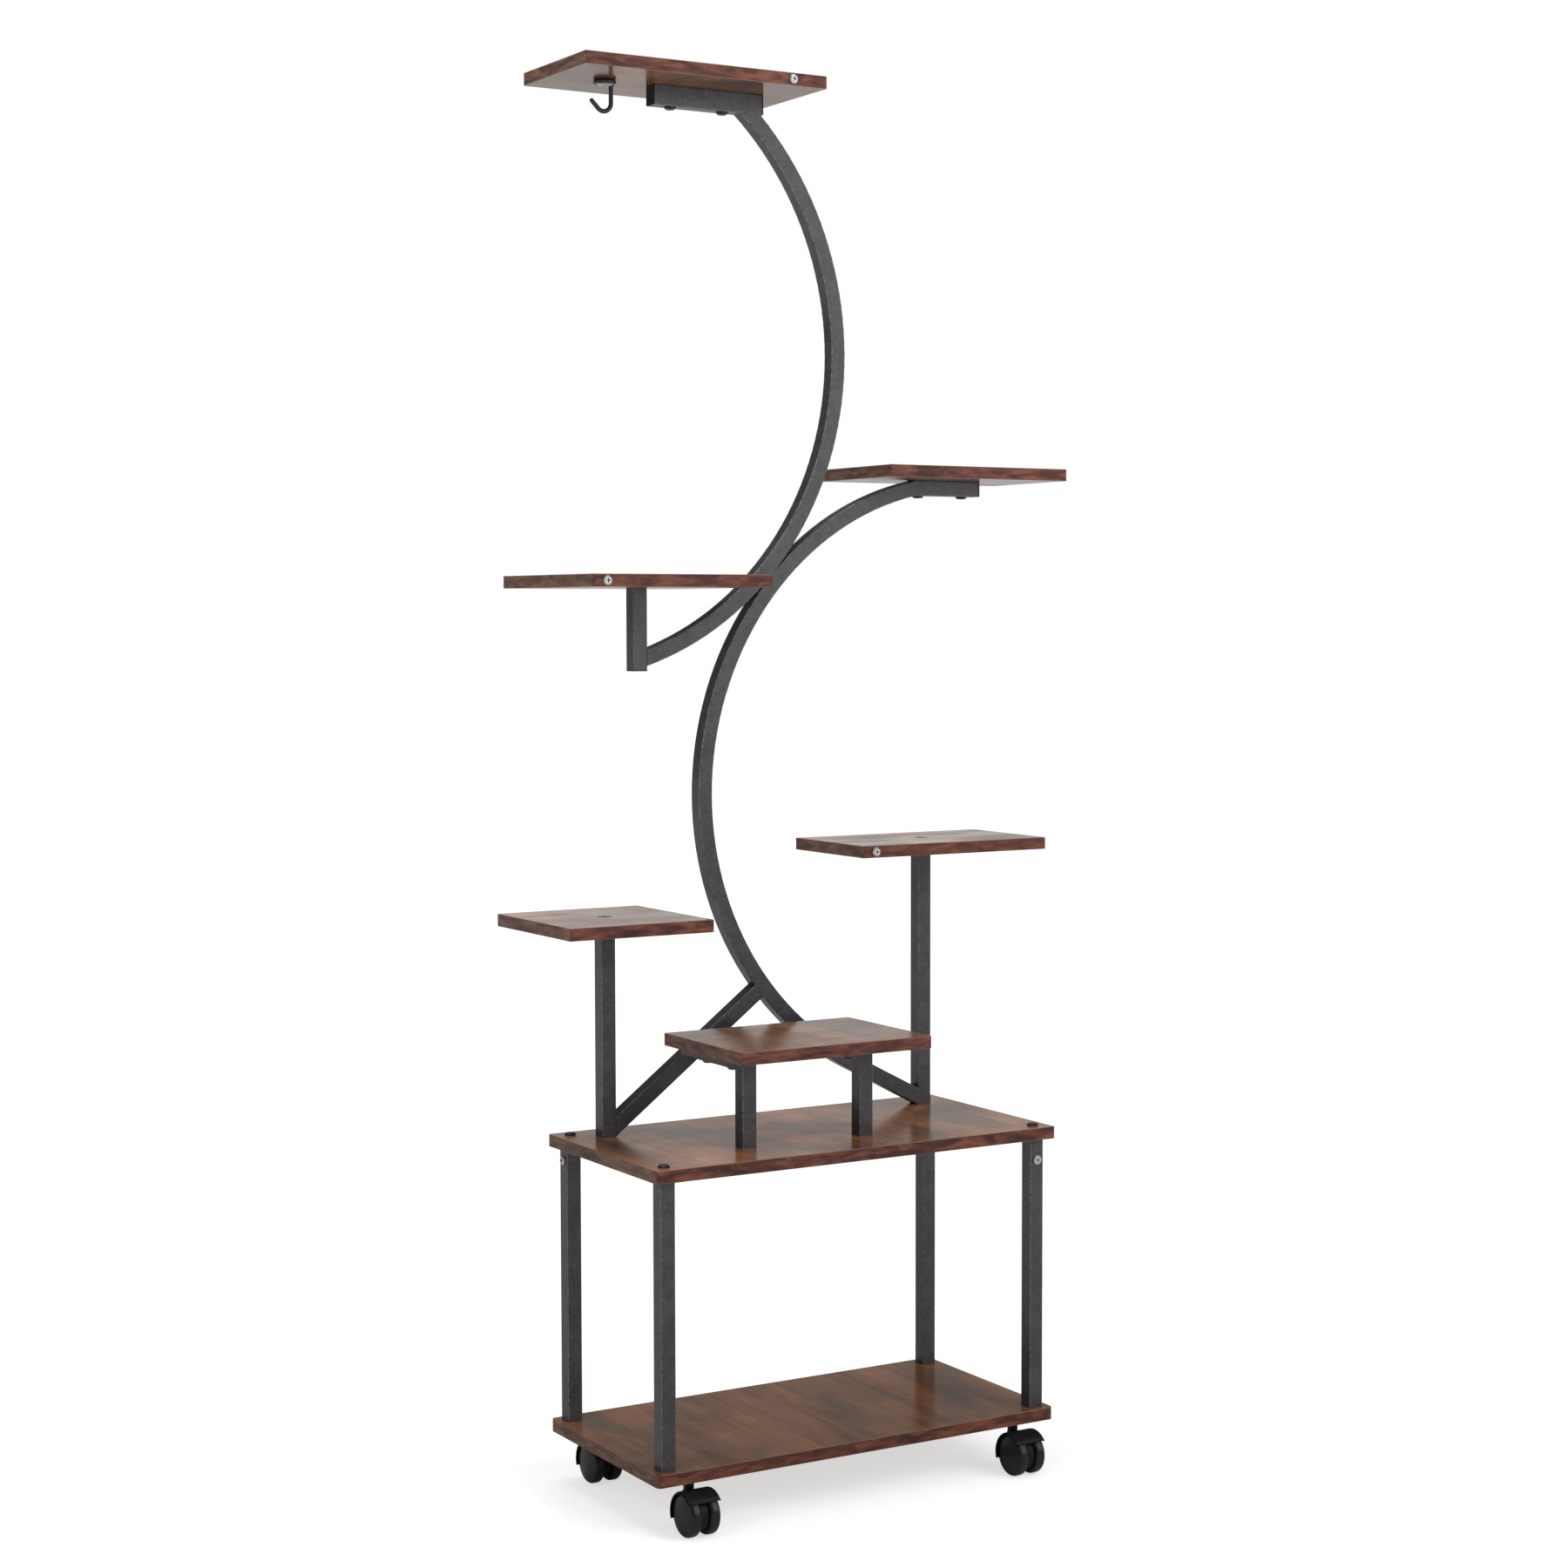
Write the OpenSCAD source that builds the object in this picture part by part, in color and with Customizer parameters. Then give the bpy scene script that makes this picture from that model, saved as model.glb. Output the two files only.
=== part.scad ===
// Tiered plant stand: two large boards on four square legs and twin-wheel casters, with six
// small shelves carried by straight posts and by two curved square tubes that lean on each other.
// Millimetres, +Z up, front towards -Y. The origin is on the floor, under the middle of the
// stand's overall outline.

/* [Boards] */
// Width of the two large boards
board_w = 550; // [520:5:620]
// Depth of the two large boards
board_d = 275; // [260:5:320]
// Thickness of every board and shelf
board_t = 15; // [12:1:20]
// Corner radius of the lower board
lower_corner_r = 8; // [3:1:12]
// Corner radius of the upper board and the shelves
corner_r = 2; // [1:0.5:5]
// Chamfer along every board edge
edge_chamfer = 0.6; // [0.3:0.1:1.2]

/* [Shelves] */
// Width of the top shelf
top_shelf_w = 322; // [290:2:360]
// Depth of the top shelf
top_shelf_d = 164; // [140:2:200]
// Width of the upper right shelf
right_upper_w = 265; // [240:5:300]
// Depth of the upper right shelf
right_upper_d = 162; // [140:2:200]
// Width of the lower right shelf
right_low_w = 274; // [240:2:300]
// Depth of the lower right shelf
right_low_d = 162; // [140:2:200]
// Width of the middle left shelf
left_mid_w = 237; // [200:1:250]
// Depth of the middle left shelf
left_mid_d = 240; // [200:5:260]
// Width of the lower left shelf
left_low_w = 190; // [160:2:210]
// Depth of the lower left shelf
left_low_d = 196; // [160:2:220]
// Width of the bench shelf
bench_w = 260; // [240:2:280]
// Depth of the bench shelf
bench_d = 186; // [165:1:190]

/* [Heights] */
// Length of the four legs
leg_len = 332; // [250:2:420]
// Height of the bench shelf's top above the upper board
bench_h = 125; // [110:1:140]
// Height of the lower left shelf's top above the upper board
left_low_h = 264; // [220:2:300]
// Height of the lower right shelf's top above the upper board
right_low_h = 340; // [300:5:400]
// Length of the riser between the upper curve's foot and the middle left shelf
riser_len = 99; // [85:0.5:120]
// Height of the upper right shelf's top above the upper board
right_upper_h = 806; // [790:2:812]
// Height of the top shelf's top above the upper board
top_h = 1264; // [1220:4:1290]

/* [Tubes] */
// Outer size of the square tubes
tube = 19; // [16:0.5:22]
// Wall of the tubes
wall = 1.2; // [0.8:0.1:1.8]
// Rounding of the tubes' outer corners
tube_corner_r = 1.5; // [0.8:0.1:2]
// Height of the top bar, a deeper tube than the others
top_bar_h = 24; // [19:1:30]
// Gap between the lower curve's circle and the upper board
lower_arc_gap = 10.5; // [6:0.5:16]
// How far to the left of the lower curve's centre the right bar starts
right_bar_back = 81; // [70:1:92]
// Slope at which the top bar's underside lies on the upper curve, seen from the curve's centre
top_bar_slope = 45.6; // [44:0.1:47]
// How far to the right of the boards' middle the lower curve is centred
lower_arc_x = 295; // [288:1:302]
// Slope of the line that joins the two curves' centres
lean = 42.6; // [41.5:0.1:43.5]
// Slope of the straight brace
brace_slope = 37; // [35:0.5:38]
// Gap between the back faces of the frame and the upper board's back edge
frame_inset = 40; // [30:2:50]
// Gap between the left post and the left end of the upper board
left_post_inset = 42.5; // [36:0.5:46]
// Gap between the right post and the right end of the upper board
right_post_inset = 37.5; // [34:0.5:44]
// Gap between a leg and the edges of the boards
leg_inset = 10; // [6:1:14]
// How far to the left of the boards' middle the short riser stands
riser_x = 178; // [172:1:184]
// Length of the bar under the upper right shelf
right_bar_len = 97; // [92:1:110]
// Length of the bar under the top shelf
top_bar_len = 150; // [130:2:180]
// How far the top bar runs past the upper curve's outer face
top_bar_lip = 3; // [1:1:12]
// How far the riser reaches below the end of the upper curve
riser_lip = 6; // [2:1:12]
// Gap between the right bar's end and its shelf's end
right_bar_gap = 85; // [70:5:100]
// Gap between the top bar's right end and its shelf's end
top_bar_gap = 46; // [30:2:60]
// How far to the left of the boards' middle the bench shelf is centred
bench_x = 35; // [25:1:45]
// Gap between a bench post and the end of the bench shelf
bench_post_inset = 40; // [30:1:50]
// Gap between a bench post and the front edge of the bench shelf
bench_post_setback = 67; // [55:1:80]

/* [Hook] */
// Diameter of the hook's wire
hook_wire = 5.5; // [4:0.5:7]
// Radius of the hook's eye, to the middle of the wire
hook_eye_r = 11; // [9:0.5:14]
// Radius of the hook's bend, to the middle of the wire
hook_bend_r = 10; // [8:0.5:14]
// Drop from the shelf to the lowest point of the hook
hook_drop = 38; // [32:1:60]
// Length of the hook's straight tip
hook_tip = 12; // [6:1:16]
// Distance of the hook's screw from the left end of the top shelf
hook_inset = 66; // [45:1:80]

/* [Casters] */
// Height from the floor to the underside of the lower board
caster_h = 60; // [58:1:70]
// Radius of the wheels
wheel_r = 25; // [22:0.5:26]
// Width of one wheel
wheel_w = 16; // [13:0.5:17]
// Radius of the wheels' domed outer faces
wheel_dome_r = 80; // [60:5:120]
// Rounding at both edges of a wheel's tread
wheel_shoulder = 4; // [2:0.5:4.5]
// Thickness of a wheel's rim and hub around its inner pocket
wheel_rim = 5; // [4.5:0.5:6]
// Distance from the stem's axis to the wheels' axle
caster_trail = 19; // [17:0.5:22]
// Width of the caster body between its two wheels
web_w = 10; // [9:0.5:12]
// Thickness of the caster's hood
hood_t = 1.8; // [1.5:0.1:2.6]
// Rounding of the hood's two sides
hood_shoulder = 4; // [3.5:0.5:6]
// Angle by which the hood reaches below the axle at the back
hood_back = 20; // [0:1:24]
// Angle that the hood covers, from its back end over the top to the front
hood_sweep = 158; // [120:2:166]
// Diameter of the axle
axle_d = 6; // [5:0.5:8]
// Diameter of the stem's turning pin
pin_d = 6; // [5:0.5:7]
// Diameter of the stem's collar
collar_d = 12.4; // [11:0.2:16]
// Gap between a caster's stem and the end of the lower board
caster_inset_x = 49; // [44:1:56]
// Gap between a caster's stem and the long edge of the lower board
caster_inset_y = 18; // [14:1:24]

/* [Fasteners] */
// Thread diameter of the frame bolts
bolt_d = 6; // [5:0.5:6.5]
// Head diameter of the frame bolts
bolt_head_d = 14; // [11:0.5:16]
// Head height of the frame bolts
bolt_head_h = 3; // [2:0.2:3.4]
// Diameter of the flat heads that lie flush in the shelf tops
flat_head_d = 18; // [15:0.5:19]
// Thickness of the flat heads
flat_head_h = 2; // [1.6:0.2:3]
// Depth of the threaded plugs in the tube ends
plug_len = 16; // [14:1:22]
// How far the bolts reach into the plugs
bolt_reach = 12; // [8:1:13]
// How far the bar and arm bolts reach into the shelves
shelf_reach = 9; // [6:0.5:10]
// Distance from the top bar's left end to its first bolt
top_bolt_inset = 27; // [15:1:40]
// Distance between the top bar's bolts
top_bolt_pitch = 71; // [50:1:80]
// Distance from the right bar's right end to its last bolt
right_bolt_inset = 22; // [15:1:30]
// Distance between the right bar's bolts
right_bolt_pitch = 66; // [50:1:68]
// Distance of a bench arm's bolts from the bench post and from the bench shelf's back edge
arm_bolt_inset = 20; // [12:1:30]
// Head diameter of the bright cross-head screws
screw_head_d = 11.5; // [9:0.5:13]
// Head height of the bright cross-head screws
screw_head_h = 2.8; // [2:0.2:3.6]
// Shank diameter of the cross-head screws
screw_d = 4; // [3:0.5:5]
// Shank length of the cross-head screws
screw_len = 14; // [10:1:16]
// Distance of a cross-head screw from the left end of its shelf
edge_screw_inset = 18; // [12:1:30]
// Distance of the top shelf's cross-head screw from the shelf's right end
top_screw_inset = 47; // [30:1:60]
// Depth of the front leg's screw below the upper board
front_screw_drop = 26; // [12:1:40]
// Depth of the back leg's screw below the upper board
back_screw_drop = 15; // [15:1:40]

/* [Hidden] */
$fn = 48;

// Bends of the hook
hook_r = hook_wire / 2;
hook_eye_sweep = 300;
hook_bend_sweep = 135;
hair = 0.05;
lap = 0.3;
lap_angle = 3;

// Fits and small clearances
bolt_gap = 0.1;
slip = 0.1;
run_gap = 0.05;
side_gap = 0.4;
seat_gap = 0.3;
// How far a cutting tool runs past the surface it opens, and a curve past its trimmed end
over = 2;
over_angle = 4;
// Caps, plugs and threaded inserts
cap_t = 1.5;
cap_plug = 9;
insert_len = 12;
insert_d = 12;
stem_d = 8;
// Screw and bolt heads: hexagon socket, width of a cross recess, how far a head narrows and how
// much of its height is straight
socket_d = 4.5;
cross_w = 1.3;
cross_share = 0.5;
head_taper = 0.7;
head_rim = 0.5;
hook_head_h = 1.4;
// Least wall of the caster body below its pin, and of a wheel over the axle's end
wall_t = 2.5;
wheel_face = 1.2;

// Heights above the floor
lower_top = caster_h + board_t;
upper_top = lower_top + leg_len + board_t;

// Plan of the base, measured from the middle of the boards
leg_x = board_w / 2 - leg_inset - tube / 2;
leg_y = board_d / 2 - leg_inset - tube / 2;
left_post_x = -board_w / 2 + left_post_inset + tube / 2;
right_post_x = board_w / 2 - right_post_inset - tube / 2;
frame_y = board_d / 2 - frame_inset - tube / 2;
frame_front = frame_y - tube / 2;
bench_y = -board_d / 2 + bench_d / 2;
bench_post_x = bench_w / 2 - bench_post_inset - tube / 2;
bench_post_y = -board_d / 2 + bench_post_setback + tube / 2;

// Distance from the centre of a circle to its chord at a given height
function reach(radius, height) = sqrt(radius * radius - height * height);

// Undersides of the shelves above the upper board, and the lengths of the posts below them
left_low_under = left_low_h - board_t;
right_low_under = right_low_h - board_t;
right_upper_under = right_upper_h - board_t;
top_under = top_h - board_t;
bench_under = bench_h - board_t;

// The lower curve's circle rises from just above the board to the shelf, where the bar starts
arc_rise = right_upper_under - lower_arc_gap;
lower_arc_out = (arc_rise * arc_rise + right_bar_back * right_bar_back) / (2 * arc_rise);
lower_arc_r = lower_arc_out - tube / 2;
lower_arc_h = lower_arc_gap + lower_arc_out;
// Its straight end is tangent to it, and its lower edge meets the right post on the board
tail_face = right_post_x - tube / 2;
foot_far = sqrt(pow(lower_arc_x - tail_face, 2) + pow(lower_arc_h, 2));
tail_len = reach(foot_far, lower_arc_out);
tail_angle = atan2(lower_arc_h, lower_arc_x - tail_face) + asin(lower_arc_out / foot_far) + 90;
// The two curves touch side by side, and the upper one reaches the top bar
top_bar_under = top_under - top_bar_h;
upper_arc_rise = top_bar_under - lower_arc_h - lower_arc_out * sin(lean);
upper_arc_out = upper_arc_rise / (sin(lean) + sin(top_bar_slope));
upper_arc_r = upper_arc_out - tube / 2;
upper_arc_x = lower_arc_x - (lower_arc_out + upper_arc_out) * cos(lean);
upper_arc_h = lower_arc_h + (lower_arc_out + upper_arc_out) * sin(lean);
// Side of the blocks that trim the curved tubes' ends
block = 3 * upper_arc_r;

// The right bar carries the upper right shelf
right_bar_mid = right_upper_under - tube / 2;
right_bar_x = lower_arc_x - right_bar_back;
right_upper_x = right_bar_x + right_bar_len + right_bar_gap - right_upper_w / 2;
// The top bar ends just past the upper curve's outer face
top_bar_end = upper_arc_x + reach(upper_arc_out, top_bar_under - upper_arc_h) + top_bar_lip;
top_shelf_x = top_bar_end + top_bar_gap - top_shelf_w / 2;
// The riser starts just below the upper curve's end and carries the middle left shelf
riser_face = -riser_x + tube / 2;
riser_foot = upper_arc_h - reach(upper_arc_out, riser_face - upper_arc_x) - riser_lip;
left_mid_under = riser_foot + riser_len;
left_mid_h = left_mid_under + board_t;

// Bolt places along the bars and the bench arms
top_bolt_first = top_bar_end - top_bar_len + top_bolt_inset;
top_bolt_x = [top_bolt_first, top_bolt_first + top_bolt_pitch];
right_bolt_last = right_bar_x + right_bar_len - right_bolt_inset;
right_bolt_x = [right_bolt_last - right_bolt_pitch, right_bolt_last];
arm_start = bench_post_y + tube / 2;
arm_len = frame_front - arm_start;
arm_bolt_y = [arm_start + arm_bolt_inset, bench_y + bench_d / 2 - arm_bolt_inset];

// Caster body: the hood's gap over the wheels, the thickness and tilt of its bevelled front
// edge, the web's drop below the treads and its angle short of the hood's ends, and the boss
// round the stem's pin
hood_gap = 0.8;
hood_edge = 0.6;
bevel_tilt = 12;
web_drop = 5;
web_end_angle = 2;
boss_rise = 2;
boss_wall = 2;
pin_dip = 4;
hood_r = wheel_r + hood_gap + hood_t;
boss_top = wheel_r + reach(hood_r, caster_trail) + boss_rise;
pin_foot = wheel_r - pin_dip;
// Half of the caster's width over both wheels
half_w = web_w / 2 + side_gap + wheel_w;

// Overall outline, used to put the origin under its middle
caster_x = board_w / 2 - caster_inset_x;
caster_y = board_d / 2 - caster_inset_y;
left_mid_end = -riser_x - left_mid_w / 2;
right_low_end = right_post_x - right_low_w / 2;
top_screw_x = top_shelf_x + top_shelf_w / 2 - top_screw_inset;
left_low_end = left_post_x - left_low_w / 2;
outline_left = min(-board_w / 2, left_low_end, left_mid_end, top_shelf_x - top_shelf_w / 2);
outline_right = max(board_w / 2, right_post_x + right_low_w / 2, right_upper_x + right_upper_w / 2);
outline_front = min(-board_d / 2, -caster_y - caster_trail - wheel_r);
deepest_shelf = max(left_low_d, left_mid_d, right_low_d, right_upper_d, top_shelf_d);
outline_back = max(board_d / 2, frame_y + deepest_shelf / 2);
mid_x = (outline_left + outline_right) / 2;
mid_y = (outline_front + outline_back) / 2;

// Colours
wood = "#6b4436";
steel = "#37383a";
black = "#1c1c1e";
bright = "#d8d8d8";

// Shared shapes

module placed() { translate([-mid_x, -mid_y, 0]) children(); }

module on_upper() { placed() translate([0, 0, upper_top]) children(); }

// Puts a drawing made in X and height on the plane of the posts and curves
module in_frame() { on_upper() translate([0, frame_y, 0]) rotate([90, 0, 0]) children(); }

module rounded_rect(w, d, r) {
    square([w - 2 * r, d], center = true);
    square([w, d - 2 * r], center = true);
    for (x = [-1, 1], y = [-1, 1]) translate([x * (w / 2 - r), y * (d / 2 - r)]) circle(r);
}

module tube_section(w = tube, d = tube) {
    difference() {
        rounded_rect(w, d, tube_corner_r);
        square([w - 2 * wall, d - 2 * wall], center = true);
    }
}

module upright(length) { linear_extrude(length) tube_section(); }

module chamfered_section(w) {
    c = edge_chamfer;
    polygon([[-w / 2 + c, 0], [w / 2 - c, 0], [w / 2, c], [w / 2, board_t - c],
             [w / 2 - c, board_t], [-w / 2 + c, board_t], [-w / 2, board_t - c], [-w / 2, c]]);
}

module slab(w, d, r = corner_r) {
    intersection() {
        linear_extrude(board_t) rounded_rect(w, d, r);
        rotate([90, 0, 0]) linear_extrude(d + over, center = true) chamfered_section(w);
        rotate([90, 0, 90]) linear_extrude(w + over, center = true) chamfered_section(d);
    }
}

// A button-head bolt pointing up, its head below z = 0
module bolt(length) {
    translate([0, 0, -bolt_head_h]) difference() {
        union() {
            translate([0, 0, bolt_head_h * (1 - head_rim)])
                cylinder(h = bolt_head_h * head_rim, d = bolt_head_d);
            cylinder(h = bolt_head_h * (1 - head_rim), d1 = bolt_head_d * head_taper, d2 = bolt_head_d);
        }
        translate([0, 0, -over]) cylinder(h = over + bolt_head_h * head_rim, d = socket_d, $fn = 6);
    }
    cylinder(h = length, d = bolt_d - 2 * bolt_gap);
}

module bolt_hole(length) { translate([0, 0, -over]) cylinder(h = length + 2 * over, d = bolt_d); }

// A pan-head screw with a cross recess, pointing up, its head below z = 0
module pan_screw() {
    rim_h = screw_head_h * head_rim;
    difference() {
        union() {
            translate([0, 0, -rim_h]) cylinder(h = rim_h, d = screw_head_d);
            translate([0, 0, -screw_head_h])
                cylinder(h = screw_head_h - rim_h, d1 = screw_head_d * head_taper, d2 = screw_head_d);
        }
        for (turn = [0, 90]) rotate(turn) translate([0, 0, -screw_head_h])
            cube([screw_head_d * cross_share, cross_w, screw_head_h], center = true);
    }
    cylinder(h = screw_len, d = screw_d - 2 * bolt_gap);
}

// Places shared by holes and the fasteners that fill them

module at_legs() { for (x = [-1, 1], y = [-1, 1]) translate([x * leg_x, y * leg_y, 0]) children(); }

module at_casters() {
    for (x = [-1, 1], y = [-1, 1]) translate([x * caster_x, y * caster_y, 0]) children();
}

// Feet that stand on the upper board, measured from its top
module at_feet() {
    for (x = [left_post_x, right_post_x]) translate([x, frame_y, 0]) children();
    for (x = [-1, 1]) translate([-bench_x + x * bench_post_x, bench_post_y, 0]) children();
}

// Halfway up the front edge of a shelf that is centred on the frame, pointing into it
module at_edge(x, depth, height) {
    translate([x, frame_y - depth / 2, height - board_t / 2]) rotate([-90, 0, 0]) children();
}

// Screws in shelf edges and legs, each pointing into what it holds
module at_edge_screws() {
    on_upper() {
        at_edge(top_screw_x, top_shelf_d, top_h) children();
        at_edge(left_mid_end + edge_screw_inset, left_mid_d, left_mid_h) children();
        at_edge(right_low_end + edge_screw_inset, right_low_d, right_low_h) children();
        translate([leg_x, -leg_y - tube / 2, -board_t - front_screw_drop]) rotate([-90, 0, 0]) children();
        translate([-leg_x - tube / 2, leg_y, -board_t - back_screw_drop]) rotate([0, 90, 0]) children();
    }
}

module screw_holes() {
    at_edge_screws() translate([0, 0, -over]) cylinder(h = screw_len + seat_gap + over, d = screw_d);
}

// Boards and shelves

module lower_board() {
    color(wood) difference() {
        placed() translate([0, 0, caster_h]) slab(board_w, board_d, lower_corner_r);
        placed() translate([0, 0, caster_h]) {
            at_legs() bolt_hole(board_t);
            at_casters() translate([0, 0, -over]) cylinder(h = insert_len + over, d = insert_d);
        }
    }
}

module upper_board() {
    color(wood) difference() {
        on_upper() translate([0, 0, -board_t]) slab(board_w, board_d);
        on_upper() translate([0, 0, -board_t]) {
            at_legs() bolt_hole(board_t);
            at_feet() bolt_hole(board_t);
        }
    }
}

// A shelf on a post, held by one flat-head bolt through its middle
module post_shelf(x, under, w, d) {
    color(wood) difference() {
        on_upper() translate([x, frame_y, under]) slab(w, d);
        on_upper() translate([x, frame_y, under]) {
            bolt_hole(board_t);
            translate([0, 0, board_t - flat_head_h]) cylinder(h = flat_head_h + over, d = flat_head_d);
        }
        screw_holes();
    }
}

module left_low_shelf() { post_shelf(left_post_x, left_low_under, left_low_w, left_low_d); }

module right_low_shelf() { post_shelf(right_post_x, right_low_under, right_low_w, right_low_d); }

module left_mid_shelf() { post_shelf(-riser_x, left_mid_under, left_mid_w, left_mid_d); }

// A blind hole in a shelf's underside for a bolt that comes up from below
module shelf_pilot(d = bolt_d) {
    translate([0, 0, -over]) cylinder(h = shelf_reach + seat_gap + over, d = d);
}

module right_upper_shelf() {
    color(wood) difference() {
        on_upper() translate([right_upper_x, frame_y, right_upper_under])
            slab(right_upper_w, right_upper_d);
        on_upper() for (x = right_bolt_x) translate([x, frame_y, right_upper_under]) shelf_pilot();
    }
}

module top_shelf() {
    color(wood) difference() {
        on_upper() translate([top_shelf_x, frame_y, top_under]) slab(top_shelf_w, top_shelf_d);
        on_upper() for (x = top_bolt_x) translate([x, frame_y, top_under]) shelf_pilot();
        at_hook() shelf_pilot(screw_d);
        screw_holes();
    }
}

module bench_shelf() {
    color(wood) difference() {
        on_upper() translate([-bench_x, bench_y, bench_under]) slab(bench_w, bench_d);
        at_arm_bolts(bench_under) shelf_pilot();
    }
}

// Legs and posts

module leg(x, y) {
    color(steel) difference() {
        placed() translate([x * leg_x, y * leg_y, lower_top]) upright(leg_len);
        screw_holes();
    }
}

module post(x, length) { color(steel) on_upper() translate([x, frame_y, 0]) upright(length); }

module left_post() { post(left_post_x, left_low_under); }

module right_post() { post(right_post_x, right_low_under); }

module left_riser() {
    foot = riser_foot + cap_t;
    color(steel) on_upper() translate([-riser_x, frame_y, foot]) upright(left_mid_under - foot);
}

module bench_post(side) {
    x = -bench_x + side * bench_post_x;
    color(steel) on_upper() translate([x, bench_post_y, 0]) upright(bench_under);
}

module at_arm_bolts(height) {
    on_upper() for (side = [-1, 1], y = arm_bolt_y)
        translate([-bench_x + side * bench_post_x, y, height]) children();
}

// Runs back under the bench shelf to the front face of the brace or the lower curve,
// its back end closed by a welded plate
module bench_arm(side) {
    color(steel) difference() {
        on_upper() translate([-bench_x + side * bench_post_x, arm_start, bench_under - tube / 2])
            rotate([-90, 0, 0]) {
                linear_extrude(arm_len) tube_section();
                translate([0, 0, arm_len - wall])
                    linear_extrude(wall) rounded_rect(tube, tube, tube_corner_r);
            }
        at_arm_bolts(bench_under - tube) bolt_hole(tube);
    }
}

// The curves and what they meet

// A large block that trims a tube's end, lying on the plus side of x and of height
module trim_block(x, height) {
    translate([x, height, -tube]) cube([block, block, 2 * tube]);
}

module curve(radius, start, sweep) {
    rotate(start) rotate_extrude(angle = sweep, $fn = 180) translate([radius, 0]) tube_section();
}

// From the right bar over the left side, down to its straight end
module lower_arc() {
    top_angle = 90 + asin(right_bar_back / lower_arc_r) - over_angle;
    color(steel) in_frame() difference() {
        translate([lower_arc_x, lower_arc_h, 0]) curve(lower_arc_r, top_angle, tail_angle - top_angle);
        trim_block(right_bar_x, lower_arc_h);
    }
}

// The lower curve's straight end, down to the foot of the right post
module lower_tail() {
    color(steel) in_frame() difference() {
        translate([lower_arc_x, lower_arc_h, 0]) rotate(tail_angle) translate([lower_arc_r, 0, 0])
            rotate([-90, 0, 0]) linear_extrude(tail_len + tube) tube_section();
        translate([0, -block / 2, 0]) trim_block(tail_face, 0);
    }
}

// From the riser's foot over the right side to the top bar
module upper_arc() {
    top_angle = asin((top_bar_under - upper_arc_h) / upper_arc_r) + over_angle;
    foot_angle = -acos((riser_face - upper_arc_x) / upper_arc_r) - over_angle;
    color(steel) in_frame() difference() {
        translate([upper_arc_x, upper_arc_h, 0]) curve(upper_arc_r, foot_angle, top_angle - foot_angle);
        translate([-block / 2, 0, 0]) trim_block(0, top_bar_under);
        translate([-block, 0, 0]) trim_block(riser_face, 0);
    }
}

// From the foot of the left post up to the lower curve, shaped to both
module brace() {
    post_face = left_post_x + tube / 2;
    color(steel) in_frame() difference() {
        translate([post_face, 0, 0]) rotate(brace_slope) translate([-tube, tube / 2, 0])
            rotate([0, 90, 0]) linear_extrude(2 * lower_arc_r) tube_section();
        translate([-block, -block / 2, 0]) trim_block(post_face, 0);
        translate([lower_arc_x, lower_arc_h, -tube]) cylinder(h = 2 * tube, r = lower_arc_out, $fn = 180);
    }
}

module right_bar() {
    color(steel) difference() {
        on_upper() translate([right_bar_x, frame_y, right_bar_mid])
            rotate([0, 90, 0]) linear_extrude(right_bar_len - cap_t) tube_section();
        on_upper() for (x = right_bolt_x) translate([x, frame_y, right_upper_under - tube]) bolt_hole(tube);
    }
}

module top_bar() {
    color(steel) difference() {
        on_upper() translate([top_bar_end - top_bar_len + cap_t, frame_y, top_under - top_bar_h / 2])
            rotate([0, 90, 0]) linear_extrude(top_bar_len - 2 * cap_t) tube_section(top_bar_h, tube);
        on_upper() for (x = top_bolt_x) translate([x, frame_y, top_bar_under]) bolt_hole(top_bar_h);
    }
}

// Plugs, caps and bolts

// A threaded plug that fills a tube's end, its face at z = 0
module plug() {
    side = tube - 2 * wall - 2 * slip;
    translate([0, 0, -plug_len]) difference() {
        linear_extrude(plug_len) square([side, side], center = true);
        translate([0, 0, -over]) cylinder(h = plug_len + 2 * over, d = bolt_d);
    }
}

module leg_plugs() {
    color(black) difference() {
        placed() at_legs() {
            translate([0, 0, upper_top - board_t]) plug();
            translate([0, 0, lower_top]) mirror([0, 0, 1]) plug();
        }
        screw_holes();
    }
}

module post_plugs() {
    color(black) on_upper() {
        at_feet() mirror([0, 0, 1]) plug();
        translate([left_post_x, frame_y, left_low_under]) plug();
        translate([right_post_x, frame_y, right_low_under]) plug();
        translate([-riser_x, frame_y, left_mid_under]) plug();
    }
}

// A closing cap whose plate lies above z = 0 and whose plug goes down into the tube
module tube_cap(w, d) {
    linear_extrude(cap_t) rounded_rect(w, d, tube_corner_r);
    translate([0, 0, -cap_plug])
        linear_extrude(cap_plug) square([w - 2 * wall - 2 * slip, d - 2 * wall - 2 * slip], center = true);
}

module tube_caps() {
    color(black) on_upper() {
        translate([right_bar_x + right_bar_len - cap_t, frame_y, right_bar_mid])
            rotate([0, 90, 0]) tube_cap(tube, tube);
        translate([top_bar_end - cap_t, frame_y, top_under - top_bar_h / 2])
            rotate([0, 90, 0]) tube_cap(top_bar_h, tube);
        translate([top_bar_end - top_bar_len + cap_t, frame_y, top_under - top_bar_h / 2])
            rotate([0, -90, 0]) tube_cap(top_bar_h, tube);
        translate([-riser_x, frame_y, riser_foot + cap_t]) rotate([180, 0, 0]) tube_cap(tube, tube);
    }
}

module leg_bolts_upper() {
    color(black) on_upper() at_legs() mirror([0, 0, 1]) bolt(board_t + bolt_reach);
}

module leg_bolts_lower() {
    color(black) placed() translate([0, 0, caster_h]) at_legs() bolt(board_t + bolt_reach);
}

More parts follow.
